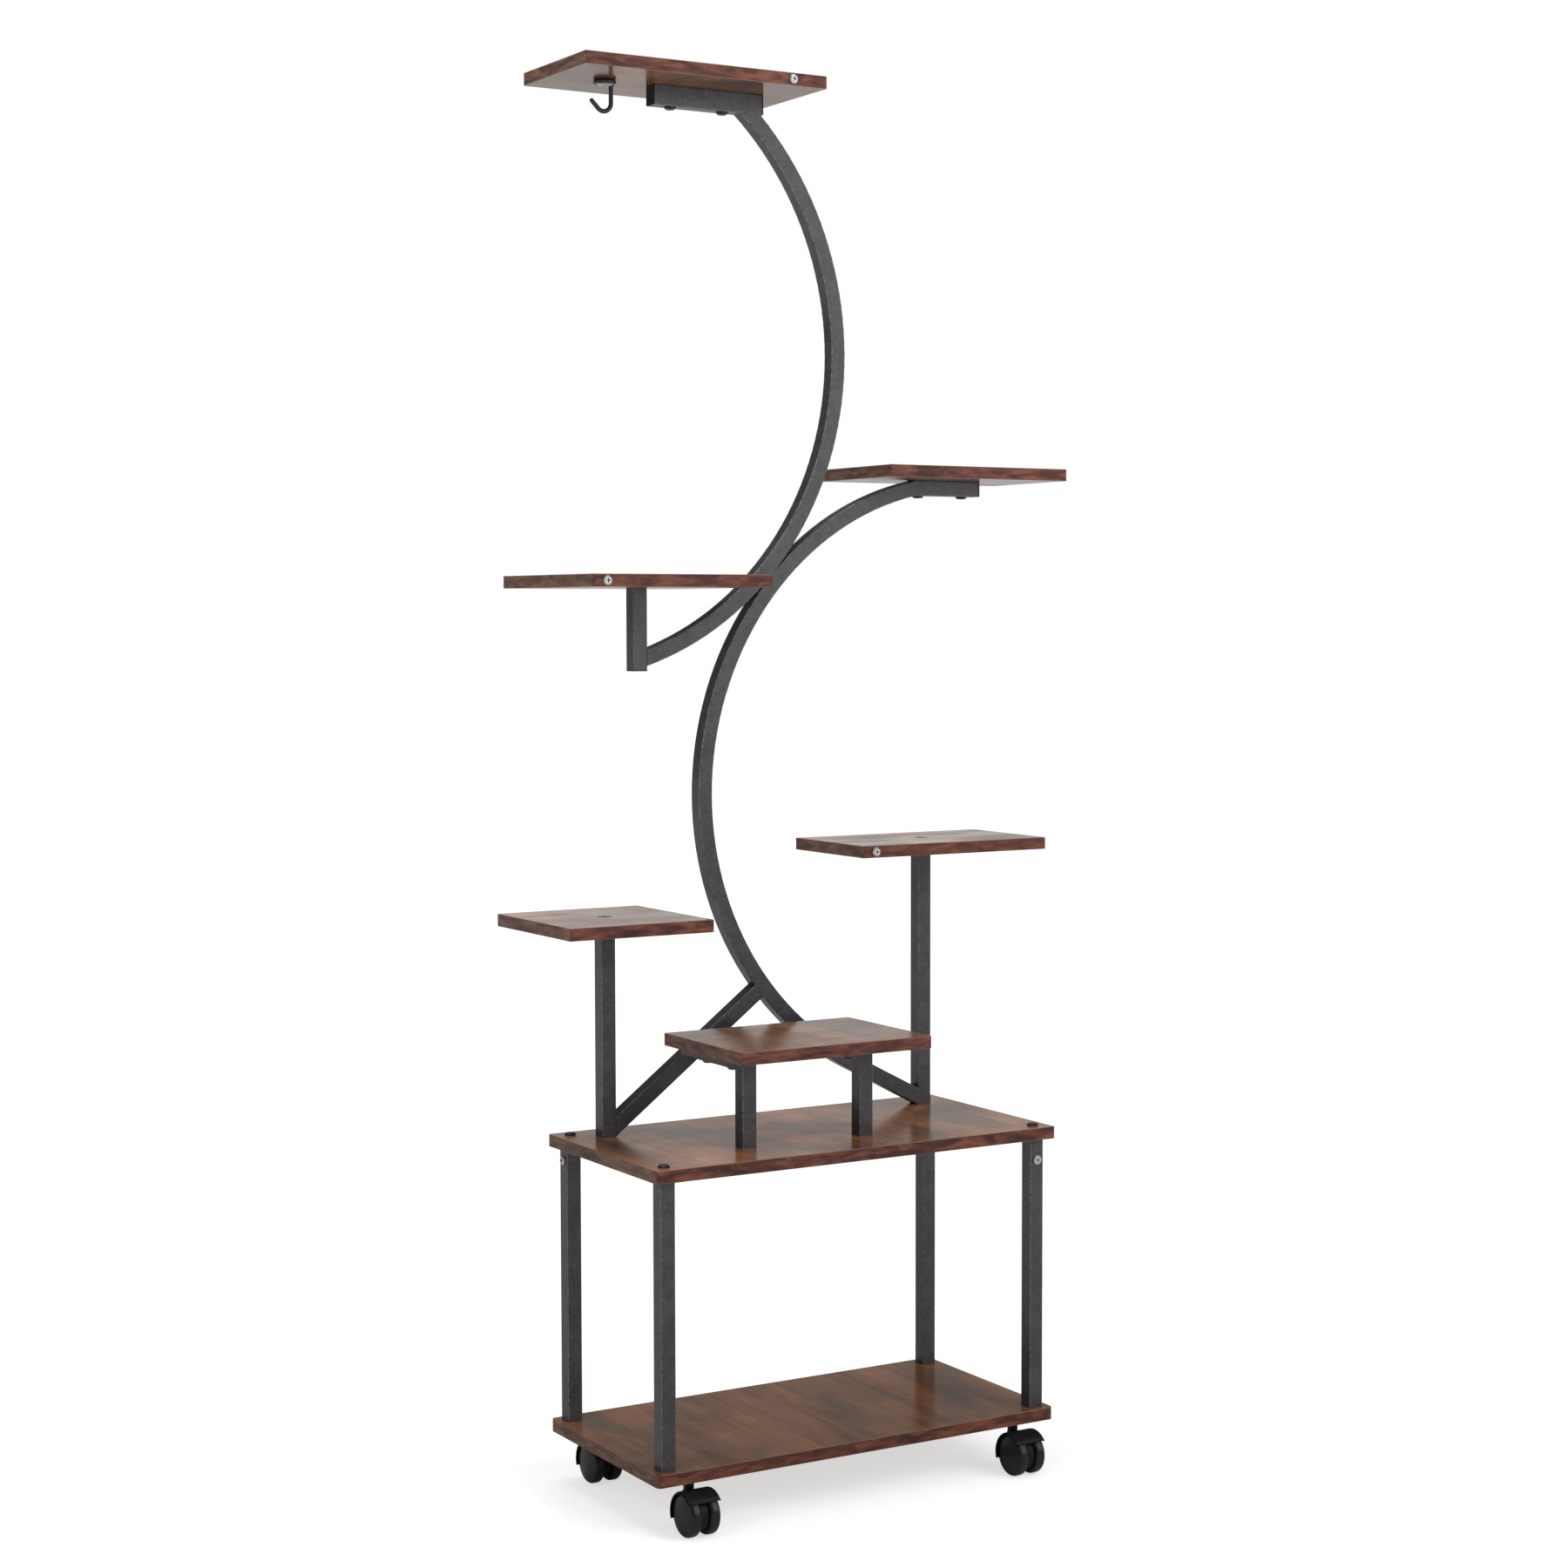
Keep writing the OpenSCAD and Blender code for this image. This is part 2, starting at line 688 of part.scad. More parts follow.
module foot_bolts() {
    color(black) on_upper() translate([0, 0, -board_t]) at_feet() bolt(board_t + bolt_reach);
}

// A flat-head bolt whose face is at z = 0, pointing down
module flat_bolt() {
    difference() {
        union() {
            translate([0, 0, -flat_head_h]) cylinder(h = flat_head_h, d = flat_head_d - 2 * bolt_gap);
            translate([0, 0, -board_t - bolt_reach])
                cylinder(h = board_t + bolt_reach, d = bolt_d - 2 * bolt_gap);
        }
        translate([0, 0, -flat_head_h]) cylinder(h = flat_head_h + over, d = socket_d, $fn = 6);
    }
}

module shelf_bolts() {
    color(black) on_upper() {
        translate([left_post_x, frame_y, left_low_h]) flat_bolt();
        translate([right_post_x, frame_y, right_low_h]) flat_bolt();
        translate([-riser_x, frame_y, left_mid_h]) flat_bolt();
    }
}

module bar_bolts() {
    color(black) on_upper() {
        for (x = right_bolt_x) translate([x, frame_y, right_upper_under - tube]) bolt(tube + shelf_reach);
        for (x = top_bolt_x) translate([x, frame_y, top_bar_under]) bolt(top_bar_h + shelf_reach);
    }
}

module arm_bolts() { color(black) at_arm_bolts(bench_under - tube) bolt(tube + shelf_reach); }

module edge_screws() { color(bright) at_edge_screws() pan_screw(); }

// Plant hook

module at_hook() {
    on_upper() translate([top_shelf_x - top_shelf_w / 2 + hook_inset, frame_y, top_under]) children();
}

// A bend of the wire about z that ends in the first direction, run on a little at both ends
module wire_bend(radius, sweep, r) {
    rotate(-sweep - lap_angle) rotate_extrude(angle = sweep + 2 * lap_angle)
        translate([radius, 0]) circle(r);
}

// The straight tip of the wire, rounded at its end
module hook_end(r) {
    rounded = [for (a = [0 : 20 : 80]) [r * cos(a), hook_tip + r * sin(a)]];
    rotate_extrude() polygon([[0, 0], [r, 0], each rounded, [0, hook_tip + r * sin(80)]]);
}

// A bent wire: an open eye flat against the shelf, a straight drop and an upturned end.
// Bends are a hair thinner than the eye and straight runs than bends, so each ends in the next.
module plant_hook() {
    drop_top = -hook_r - hook_wire;
    drop_end = -hook_drop + hook_r + hook_bend_r;
    bend_r = hook_r - hair;
    run_r = hook_r - 2 * hair;
    color(black) at_hook() {
        translate([0, 0, -hook_r]) rotate(-hook_eye_sweep)
            rotate_extrude(angle = hook_eye_sweep) translate([hook_eye_r, 0]) circle(hook_r);
        translate([hook_eye_r, 0, drop_top]) rotate([90, 0, 90]) rotate(90)
            wire_bend(hook_wire, 90, bend_r);
        translate([hook_eye_r, hook_wire, drop_end - lap])
            cylinder(h = drop_top - drop_end + 2 * lap, r = run_r);
        translate([hook_eye_r - hook_bend_r, hook_wire, drop_end]) rotate([90, 0, 0]) {
            wire_bend(hook_bend_r, hook_bend_sweep, bend_r);
            rotate(-hook_bend_sweep) translate([hook_bend_r, lap, 0]) rotate([90, 0, 0]) hook_end(run_r);
        }
    }
}

// Holds the hook's eye up against the shelf: its wide head bears on the wire from below
module hook_screw() {
    head_r = hook_eye_r - hook_r / 2;
    seat = hook_r + reach(hook_r, hook_eye_r - head_r);
    color(bright) at_hook() {
        translate([0, 0, -seat - hook_head_h]) difference() {
            cylinder(h = hook_head_h, r1 = head_r * head_taper, r2 = head_r);
            for (turn = [0, 90]) rotate(turn)
                cube([head_r * 2 * cross_share, cross_w, hook_head_h], center = true);
        }
        translate([0, 0, -seat]) cylinder(h = seat + shelf_reach, d = screw_d - 2 * bolt_gap);
    }
}

// Casters

module caster_inserts() {
    color(bright) placed() at_casters() translate([0, 0, caster_h]) difference() {
        cylinder(h = insert_len - seat_gap, d = insert_d - 2 * bolt_gap);
        translate([0, 0, -over]) cylinder(h = insert_len - seat_gap + 2 * over, d = stem_d);
    }
}

// Puts a caster's piece at one corner; its own origin is under the stem, on the floor
module at_caster(x, y) { placed() translate([x * caster_x, y * caster_y, 0]) children(); }

// Turns a drawing so that its axis is the axle's and its first direction points back
module on_axle() { translate([0, -caster_trail, wheel_r]) rotate([90, 0, 90]) children(); }

// Fixed in the board: a threaded end, a collar and the pin that the caster turns on
module caster_stem(x, y) {
    color(black) at_caster(x, y) {
        translate([0, 0, pin_foot]) cylinder(h = boss_top + seat_gap - pin_foot + over, d = pin_d);
        translate([0, 0, boss_top + seat_gap]) cylinder(h = caster_h - boss_top - seat_gap, d = collar_d);
        translate([0, 0, caster_h]) cylinder(h = insert_len - 2 * seat_gap, d = stem_d - 2 * bolt_gap);
    }
}

// A round section with rounded shoulders, in radius and distance along the axle
module drum_section(radius, half, shoulder) {
    translate([0, -half]) square([radius - shoulder, 2 * half]);
    translate([0, -half + shoulder]) square([radius, 2 * half - 2 * shoulder]);
    for (side = [-1, 1]) translate([radius - shoulder, side * (half - shoulder)]) circle(shoulder);
}

// The hood's shell over both wheels, with a lip down each side
module hood_shell() {
    difference() {
        drum_section(hood_r, half_w, hood_shoulder);
        drum_section(hood_r - hood_t, half_w - hood_t, hood_shoulder - hood_t);
        translate([0, -half_w - over]) square([wheel_r - hood_gap / 2, 2 * half_w + 2 * over]);
    }
}

// The web's outline seen along the axle: a disc, and a wing that runs up into the hood
module web_outline() {
    inside = hood_r - hood_t / 2;
    first = web_end_angle - hood_back;
    step = (hood_sweep - 2 * web_end_angle) / 4;
    circle(wheel_r - web_drop);
    intersection() {
        circle(inside);
        polygon([[0, 0], for (i = [0 : 4]) 2 * inside * [cos(first + i * step), sin(first + i * step)]]);
    }
}

// The stem's boss, narrowed to pass between the wheels
module stem_boss() {
    boss_r = web_w / 2 + boss_wall;
    boss_foot = pin_foot - seat_gap - wall_t;
    difference() {
        translate([0, 0, boss_foot]) cylinder(h = boss_top - boss_foot, r = boss_r);
        for (side = [-1, 1]) on_axle() translate([0, 0, side * (web_w / 2 - lap + boss_r)])
            cylinder(h = 2 * boss_r, r = wheel_r + hood_gap / 2, center = true);
    }
}

// Cuts the hood's front edge thin, so that it runs down to the treads
module hood_bevel() {
    rotate(hood_sweep - hood_back + bevel_tilt)
        translate([(wheel_r + hood_gap + hood_edge) * cos(bevel_tilt), -hood_r, -hood_r])
            cube(2 * hood_r);
}

// One moulded body: a web between the wheels, the hood over them and a boss for the stem
module caster_body(x, y) {
    color(black) at_caster(x, y) difference() {
        union() {
            on_axle() linear_extrude(web_w, center = true) web_outline();
            on_axle() rotate(-hood_back) rotate_extrude(angle = hood_sweep, $fn = 72) hood_shell();
            stem_boss();
        }
        translate([0, 0, pin_foot - seat_gap]) cylinder(h = boss_top, d = pin_d + 2 * run_gap);
        translate([0, 0, boss_top]) cylinder(h = hood_r, d = collar_d + 2 * seat_gap);
        on_axle() {
            cylinder(h = web_w + 2 * over, d = axle_d, center = true);
            hood_bevel();
        }
    }
}

module caster_axle(x, y) {
    color(bright) at_caster(x, y) on_axle()
        cylinder(h = 2 * (half_w - wheel_face - seat_gap), d = axle_d, center = true);
}

// A moulded wheel: a tread with rounded edges, a domed closed outer face and a pocket inside
module caster_wheel(x, y, side) {
    face_r = wheel_r - wheel_shoulder;
    face = wheel_w - wheel_dome_r + reach(wheel_dome_r, face_r);
    hub_r = axle_d / 2 + wheel_rim;
    color(black) at_caster(x, y) on_axle() mirror([0, 0, side < 0 ? 1 : 0])
        translate([0, 0, web_w / 2 + side_gap]) rotate_extrude($fn = 72) difference() {
            intersection() {
                union() {
                    drum_section(wheel_r, face, wheel_shoulder);
                    intersection() {
                        translate([0, wheel_w - wheel_dome_r]) circle(wheel_dome_r, $fn = 180);
                        square([face_r, wheel_w]);
                    }
                }
                translate([0, wheel_w]) drum_section(wheel_r, wheel_w, wheel_shoulder);
            }
            translate([0, -over]) square([axle_d / 2 + run_gap, wheel_w - wheel_face + over]);
            translate([hub_r, -over]) square([wheel_r - wheel_rim - hub_r, wheel_w / 2 + over]);
        }
}

lower_board();
upper_board();
leg(-1, -1);  // leg_front_left
leg(1, -1);  // leg_front_right
leg(-1, 1);  // leg_back_left
leg(1, 1);  // leg_back_right
left_post();
right_post();
brace();
lower_arc();
lower_tail();
upper_arc();
left_riser();
right_bar();
top_bar();
bench_post(-1);  // bench_post_left
bench_post(1);  // bench_post_right
bench_arm(-1);  // bench_arm_left
bench_arm(1);  // bench_arm_right
bench_shelf();
left_low_shelf();
right_low_shelf();
left_mid_shelf();
right_upper_shelf();
top_shelf();
leg_plugs();
post_plugs();
tube_caps();
leg_bolts_upper();
leg_bolts_lower();
foot_bolts();
shelf_bolts();
bar_bolts();
arm_bolts();
edge_screws();
plant_hook();
hook_screw();
caster_inserts();
caster_stem(-1, -1);  // caster_fl_stem
caster_body(-1, -1);  // caster_fl_body
caster_axle(-1, -1);  // caster_fl_axle
caster_wheel(-1, -1, -1);  // caster_fl_wheel_left
caster_wheel(-1, -1, 1);  // caster_fl_wheel_right
caster_stem(1, -1);  // caster_fr_stem
caster_body(1, -1);  // caster_fr_body
caster_axle(1, -1);  // caster_fr_axle
caster_wheel(1, -1, -1);  // caster_fr_wheel_left
caster_wheel(1, -1, 1);  // caster_fr_wheel_right
caster_stem(-1, 1);  // caster_bl_stem
caster_body(-1, 1);  // caster_bl_body
caster_axle(-1, 1);  // caster_bl_axle
caster_wheel(-1, 1, -1);  // caster_bl_wheel_left
caster_wheel(-1, 1, 1);  // caster_bl_wheel_right
caster_stem(1, 1);  // caster_br_stem
caster_body(1, 1);  // caster_br_body
caster_axle(1, 1);  // caster_br_axle
caster_wheel(1, 1, -1);  // caster_br_wheel_left
caster_wheel(1, 1, 1);  // caster_br_wheel_right
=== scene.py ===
import math
import bpy
from mathutils import Matrix, Vector


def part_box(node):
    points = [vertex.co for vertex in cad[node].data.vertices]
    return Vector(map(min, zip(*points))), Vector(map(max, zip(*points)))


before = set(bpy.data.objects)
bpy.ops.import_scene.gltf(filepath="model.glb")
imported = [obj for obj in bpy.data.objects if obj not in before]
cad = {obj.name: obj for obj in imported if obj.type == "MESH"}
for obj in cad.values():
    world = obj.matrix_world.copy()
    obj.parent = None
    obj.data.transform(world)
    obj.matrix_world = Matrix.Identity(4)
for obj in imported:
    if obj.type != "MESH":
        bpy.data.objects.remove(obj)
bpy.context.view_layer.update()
boardLow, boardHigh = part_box("lower_board")
boardMiddle = (boardLow + boardHigh) / 2
print("frame:", len(cad), "nodes")


# camera, at the photograph's place

view = {
    "fromBoards": (-1.7707, -2.9308),      # across the floor, from the middle of the big boards
    "height": 1.0444,
    "ahead": (0.5105, 0.8577, -0.0591),    # the way it looks
    "roll": -0.11,                         # degrees
    "lens": 65.52,
    "sensor": 36,
    "clip": (0.05, 100),
}

cameraData = bpy.data.cameras.new("camera")
cameraData.sensor_width = view["sensor"]
cameraData.lens = view["lens"]
cameraData.clip_start, cameraData.clip_end = view["clip"]
camera = bpy.data.objects.new("camera", cameraData)
bpy.context.scene.collection.objects.link(camera)
camera.rotation_mode = "QUATERNION"
camera.rotation_quaternion = (
    Vector(view["ahead"]).to_track_quat("-Z", "Y")
    @ Matrix.Rotation(math.radians(view["roll"]), 3, "Z").to_quaternion())
camera.location = (boardMiddle.x + view["fromBoards"][0],
                   boardMiddle.y + view["fromBoards"][1], view["height"])
bpy.context.scene.camera = camera
print("camera")


# helpers for nodes

def addNode(tree, kind, inputs=None, **settings):
    node = tree.nodes.new(kind)
    for key, value in settings.items():
        setattr(node, key, value)
    for key, value in (inputs or {}).items():
        if isinstance(value, bpy.types.NodeSocket):
            tree.links.new(value, node.inputs[key])
        else:
            node.inputs[key].default_value = value
    return node


def compute(tree, operation, first, second=0.0):
    return addNode(tree, "ShaderNodeMath", {0: first, 1: second}, operation=operation).outputs[0]


def sumOf(tree, *terms):    # each term is a value and its share
    total = None
    for value, share in terms:
        part = compute(tree, "MULTIPLY", value, share)
        total = part if total is None else compute(tree, "ADD", total, part)
    return total


def between(tree, value, low, high, toLow=0.0, toHigh=1.0):
    return addNode(tree, "ShaderNodeMapRange", {
        "Value": value, "From Min": low, "From Max": high, "To Min": toLow, "To Max": toHigh},
        interpolation_type="SMOOTHSTEP").outputs[0]


def pick(tree, share, first, second):    # two numbers: the first at 0, the second at 1
    return addNode(tree, "ShaderNodeMix", {0: share, 2: first, 3: second},
                   data_type="FLOAT").outputs[0]


def mix(tree, share, first, second):     # two colours, the same way
    return addNode(tree, "ShaderNodeMixRGB", {
        "Fac": share, "Color1": first, "Color2": second}).outputs[0]


def colour(r, g, b):
    return (r, g, b, 1)


def ramp(tree, value, stops):            # each stop is a place and its colour
    node = addNode(tree, "ShaderNodeValToRGB", {"Fac": value})
    points = node.color_ramp.elements
    while len(points) < len(stops):
        points.new(0.5)
    for point, (place, shade) in zip(points, stops):
        point.position = place
        point.color = colour(*shade)
    return node.outputs[0]


def texture(tree, output):
    return addNode(tree, "ShaderNodeTexCoord").outputs[output]


def separate(tree, vector):
    return addNode(tree, "ShaderNodeSeparateXYZ", {"Vector": vector}).outputs


def noise(tree, settings, where=None):   # settings: scale, detail, roughness and distortion
    scale, detail, rough, distortion = settings
    where = texture(tree, "Object") if where is None else where
    return addNode(tree, "ShaderNodeTexNoise", {
        "Vector": where, "Scale": scale, "Detail": detail, "Roughness": rough,
        "Distortion": distortion}).outputs[0]


def bump(tree, shader, height, strength, distance):
    node = addNode(tree, "ShaderNodeBump", {
        "Height": height, "Strength": strength, "Distance": distance})
    tree.links.new(node.outputs[0], shader.inputs["Normal"])


def newMaterial(name, **sockets):
    material = bpy.data.materials.new(name)
    material.use_nodes = True
    shader = material.node_tree.nodes["Principled BSDF"]
    for key, value in sockets.items():
        shader.inputs[key].default_value = value
    return material, material.node_tree, shader


def dress(name, material):
    for slot in cad[name].material_slots:
        slot.material = material


# floor and light

studio = {
    "floorWidth": 60,
    "floorColour": (0.62, 0.62, 0.62),
    "floorNear": (1.2, 4.0),        # how far out near and far lie, from the middle
    "floorLift": (0.62, 0.92),      # what the floor adds for the camera, near and far, to be white
    "floorBounce": (0.1, 1.2),      # what it adds to the light on the pieces, near and far
    "glossNear": (0.4, 3.4),        # near and far for reflections
    "floorGloss": (0.03, 0.42),     # what it adds in them
    "ambient": 0.34,
    "roomGloss": 0.13,              # the room away from the white backdrop, in reflections
    "backdrop": (0.45, 0.89, 0.0),  # where the backdrop stands
    "backdropEdge": (0.72, 0.93),   # where it begins and is full, as the cosine from its middle
    "backdropRise": [(0.05, 0.98), (0.11, 0.72), (0.19, 0.42), (0.30, 0.13)],   # height, level
    "lamps": [                      # name, place, size, watts and whether it shows in reflections
        ("keyLamp", (1.5, -2.7, 2.05), 2.6, 42, True),
        ("keyMatte", (1.1, -2.5, 2.5), 1.6, 19, False),
        ("leftLamp", (-3.0, -1.1, 2.3), 1.2, 8, True),
        ("leftMatte", (-3.0, -1.1, 2.3), 1.2, 13, False),
        ("topLamp", (-0.2, 0.4, 3.3), 1.7, 34, True),
    ],
    "aim": (0, 0, 1.0),
}

world = bpy.data.worlds.new("studio")
world.use_nodes = True
bpy.context.scene.world = world
sky = world.node_tree
skyRay = addNode(sky, "ShaderNodeLightPath").outputs
direction = texture(sky, "Generated")
towardBackdrop = addNode(sky, "ShaderNodeVectorMath", {0: direction, 1: studio["backdrop"]},
                         operation="DOT_PRODUCT").outputs["Value"]
backdropLight = ramp(sky, separate(sky, direction)["Z"],
                     [(height, (level,) * 3) for height, level in studio["backdropRise"]])
roomLight = pick(sky, between(sky, towardBackdrop, *studio["backdropEdge"]),
                 studio["roomGloss"], backdropLight)
skyLight = pick(sky, skyRay["Is Glossy Ray"], studio["ambient"], roomLight)
skySeen = compute(sky, "MAXIMUM", skyRay["Is Camera Ray"], skyRay["Is Transmission Ray"])
background = sky.nodes["Background"]
background.inputs["Color"].default_value = colour(1, 1, 1)
sky.links.new(compute(sky, "MAXIMUM", skyLight, skySeen), background.inputs["Strength"])

floorMaterial = bpy.data.materials.new("paleFloor")
floorMaterial.use_nodes = True
tree = floorMaterial.node_tree
tree.nodes.clear()
floorRay = addNode(tree, "ShaderNodeLightPath").outputs
floorSeen = compute(tree, "MAXIMUM", floorRay["Is Camera Ray"], floorRay["Is Transmission Ray"])
fromMiddle = addNode(tree, "ShaderNodeVectorMath", {0: texture(tree, "Object")},
                     operation="LENGTH").outputs["Value"]
lift = sumOf(
    tree,
    (floorSeen, between(tree, fromMiddle, *studio["floorNear"], *studio["floorLift"])),
    (floorRay["Is Glossy Ray"],
     between(tree, fromMiddle, *studio["glossNear"], *studio["floorGloss"])),
    (floorRay["Is Diffuse Ray"],
     between(tree, fromMiddle, *studio["floorNear"], *studio["floorBounce"])))
matte = addNode(tree, "ShaderNodeBsdfDiffuse", {"Color": colour(*studio["floorColour"])})
glow = addNode(tree, "ShaderNodeEmission", {"Color": colour(1, 1, 1), "Strength": lift})
both = addNode(tree, "ShaderNodeAddShader", {0: matte.outputs[0], 1: glow.outputs[0]})
addNode(tree, "ShaderNodeOutputMaterial", {"Surface": both.outputs[0]})

half = studio["floorWidth"] / 2
floorMesh = bpy.data.meshes.new("floor")
floorMesh.from_pydata([(-half, -half, 0), (half, -half, 0), (half, half, 0), (-half, half, 0)],
                      [], [(0, 1, 2, 3)])
floorMesh.materials.append(floorMaterial)
floor = bpy.data.objects.new("floor", floorMesh)
bpy.context.scene.collection.objects.link(floor)

for name, place, size, watts, mirrored in studio["lamps"]:
    lamp = bpy.data.lights.new(name, "AREA")
    lamp.size = size
    lamp.energy = watts
    lampObject = bpy.data.objects.new(name, lamp)
    bpy.context.scene.collection.objects.link(lampObject)
    lampObject.location = place
    lampObject.rotation_mode = "QUATERNION"
    toAim = Vector(studio["aim"]) - Vector(place)
    lampObject.rotation_quaternion = toAim.to_track_quat("-Z", "Y")
    lampObject.visible_glossy = mirrored
bpy.context.scene.view_settings.view_transform = "Standard"
print("floor, world and", len(studio["lamps"]), "lamps")


# boards: a rustic wood laminate with edge bands

wood = {
    "dark": (0.084, 0.035, 0.016),
    "brown": (0.172, 0.069, 0.029),
    "warm": (0.272, 0.113, 0.045),
    "tan": (0.385, 0.182, 0.076),
    "toneStops": (0.30, 0.43, 0.57, 0.74),    # where those four shades lie
    "smoke": (0.086, 0.051, 0.029),           # soft greyish blotches
    "smokeRange": (0.44, 0.70, 0, 0.74),
    "poreRange": (0.60, 0.78, 0, 0.3),
    "band": (0.038, 0.009, 0.006),            # long edges
    "bandMiddle": (0.098, 0.025, 0.014),
    "bandLight": (0.180, 0.052, 0.028),
    "endBand": (0.075, 0.036, 0.024),         # short edges
    "endMiddle": (0.135, 0.066, 0.042),
    "endLight": (0.200, 0.108, 0.070),
    "edgeStops": (0.36, 0.50, 0.64),
    "edgeHighlight": (0.330, 0.190, 0.140),          # painted highlight: the thin light line along each edge's chamfer
    "edgeHighlightRange": (0.12, 0.30, 0, 0.55),
    "roughness": (0.17, 0.25),
    "wornRange": (0.35, 0.7),
    "edgeRoughness": 0.56,
    "gloss": 0.5,
    "ior": 1.42,
    "clouds": (9.5, 2.9, 1.6, 3, 0.55, 0.35),     # fineness across and along, then its noise
    "bands": (38, 2.2, 1.8, 3, 0.6, 0.3),
    "fibres": (330, 9, 1.0, 3, 0.65, 0.15),
    "pores": (900, 26, 1.0, 2, 0.6, 0.0),
    "blotches": (9, 5, 1.3, 2, 0.5, 0.6),
    "cloudShare": 0.64,
    "bandShare": 0.36,
    "fibreShare": 0.28,
    "shiftShares": (1, 0.37, 0.11),           # of a board's shift, along each axis
    "blotchShift": 5,
    "edgeStretch": (26, 60, 110),             # along the edge, through the board and up
    "edgeNoise": (1.0, 4, 0.62, 0.8),
    "wornStretch": (5, 14, 14),
    "wornNoise": (1.5, 3, 0.6, 0.0),
    "endFrom": (0.55, 0.85),                  # how far a face turns sideways to be a short edge
    "flatFrom": (0.80, 0.92),                 # and how far up or down to be a board's face
    "bump": (0.05, 0.0004),
    "boards": {                               # shift and turn of the grain, and a painted brightness for how much light each board gets
        "lower_board": (0.0, 0.8, 1.04),
        "upper_board": (3.1, -0.7, 1.6),
        "bench_shelf": (6.4, 1.0, 1.1),
        "left_low_shelf": (9.7, -1.2, 1.2),
        "right_low_shelf": (12.9, 0.6, 1.1),
        "left_mid_shelf": (15.2, 0.9, 1.0),
        "right_upper_shelf": (18.6, -0.5, 1.0),
        "top_shelf": (21.3, 1.1, 1.1),
    },
}


def stretched(tree, vector, shift, stretch):
    return addNode(tree, "ShaderNodeMapping", {
        "Vector": vector, "Location": shift, "Scale": stretch}).outputs[0]


def alongGrain(tree, key, shift, turn):       # the grain runs from front to back
    across, along, *settings = wood[key]
    turned = addNode(tree, "ShaderNodeVectorRotate", {
        "Vector": texture(tree, "Object"), "Angle": math.radians(turn)},
        rotation_type="Z_AXIS").outputs[0]
    return noise(tree, settings, stretched(tree, turned, shift, (across, along, across)))


def edgeStreaks(tree, stretch, shift, shades):
    streaks = noise(tree, wood["edgeNoise"],
                    stretched(tree, texture(tree, "Object"), shift, stretch))
    return ramp(tree, streaks, list(zip(wood["edgeStops"], [wood[key] for key in shades])))


def woodMaterial(name, shift, turn, paintedLightLevel):
    material, tree, shader = newMaterial("woodLaminate." + name, **{
        "Specular IOR Level": wood["gloss"], "IOR": wood["ior"]})
    offset = [shift * share for share in wood["shiftShares"]]
    clouds = alongGrain(tree, "clouds", offset, turn)
    bands = alongGrain(tree, "bands", offset, turn)
    fibres = alongGrain(tree, "fibres", offset, turn)
    pores = alongGrain(tree, "pores", offset, turn)
    blotches = alongGrain(tree, "blotches", (offset[0] + wood["blotchShift"], offset[1], 0), turn)
    tone = sumOf(tree, (clouds, wood["cloudShare"]), (bands, wood["bandShare"]),
                 (compute(tree, "SUBTRACT", fibres, 0.5), wood["fibreShare"]))
    # painted light: each board's tones are made lighter or darker for the light that falls on it
    shades = [tuple(c * paintedLightLevel for c in wood[key]) for key in ["dark", "brown", "warm", "tan"]]
    face = ramp(tree, tone, list(zip(wood["toneStops"], shades)))
    face = mix(tree, between(tree, blotches, *wood["smokeRange"]), face, colour(*wood["smoke"]))
    face = mix(tree, between(tree, pores, *wood["poreRange"]), face, colour(*wood["dark"]))

    alongX, alongY, upward = wood["edgeStretch"]
    longEdge = edgeStreaks(tree, (alongX, alongY, upward), offset,
                           ["band", "bandMiddle", "bandLight"])
    endEdge = edgeStreaks(tree, (alongY, alongX, upward), offset,
                          ["endBand", "endMiddle", "endLight"])
    turnX, turnY, turnZ = [compute(tree, "ABSOLUTE", part)
                           for part in separate(tree, texture(tree, "Normal"))]
    flat = between(tree, turnZ, *wood["flatFrom"])
    edge = mix(tree, between(tree, turnX, *wood["endFrom"]), longEdge, endEdge)
    # painted highlight: a light colour mixed in on the chamfers between a board's face and its
    # edge
    rounded = compute(tree, "MULTIPLY", turnZ, compute(tree, "MAXIMUM", turnX, turnY))
    shade = mix(tree, between(tree, rounded, *wood["edgeHighlightRange"]),
                mix(tree, flat, edge, face), colour(*wood["edgeHighlight"]))
    tree.links.new(shade, shader.inputs["Base Color"])

    worn = noise(tree, wood["wornNoise"],
                 stretched(tree, texture(tree, "Object"), offset, wood["wornStretch"]))
    faceRoughness = between(tree, worn, *wood["wornRange"], *wood["roughness"])
    tree.links.new(pick(tree, flat, wood["edgeRoughness"], faceRoughness),
                   shader.inputs["Roughness"])
    bump(tree, shader, compute(tree, "ADD", fibres, pores), *wood["bump"])
    return material


for name, (shift, turn, paintedLightLevel) in wood["boards"].items():
    dress(name, woodMaterial(name, shift, turn, paintedLightLevel))
print("boards:", len(wood["boards"]))


# tubes: charcoal powder coat

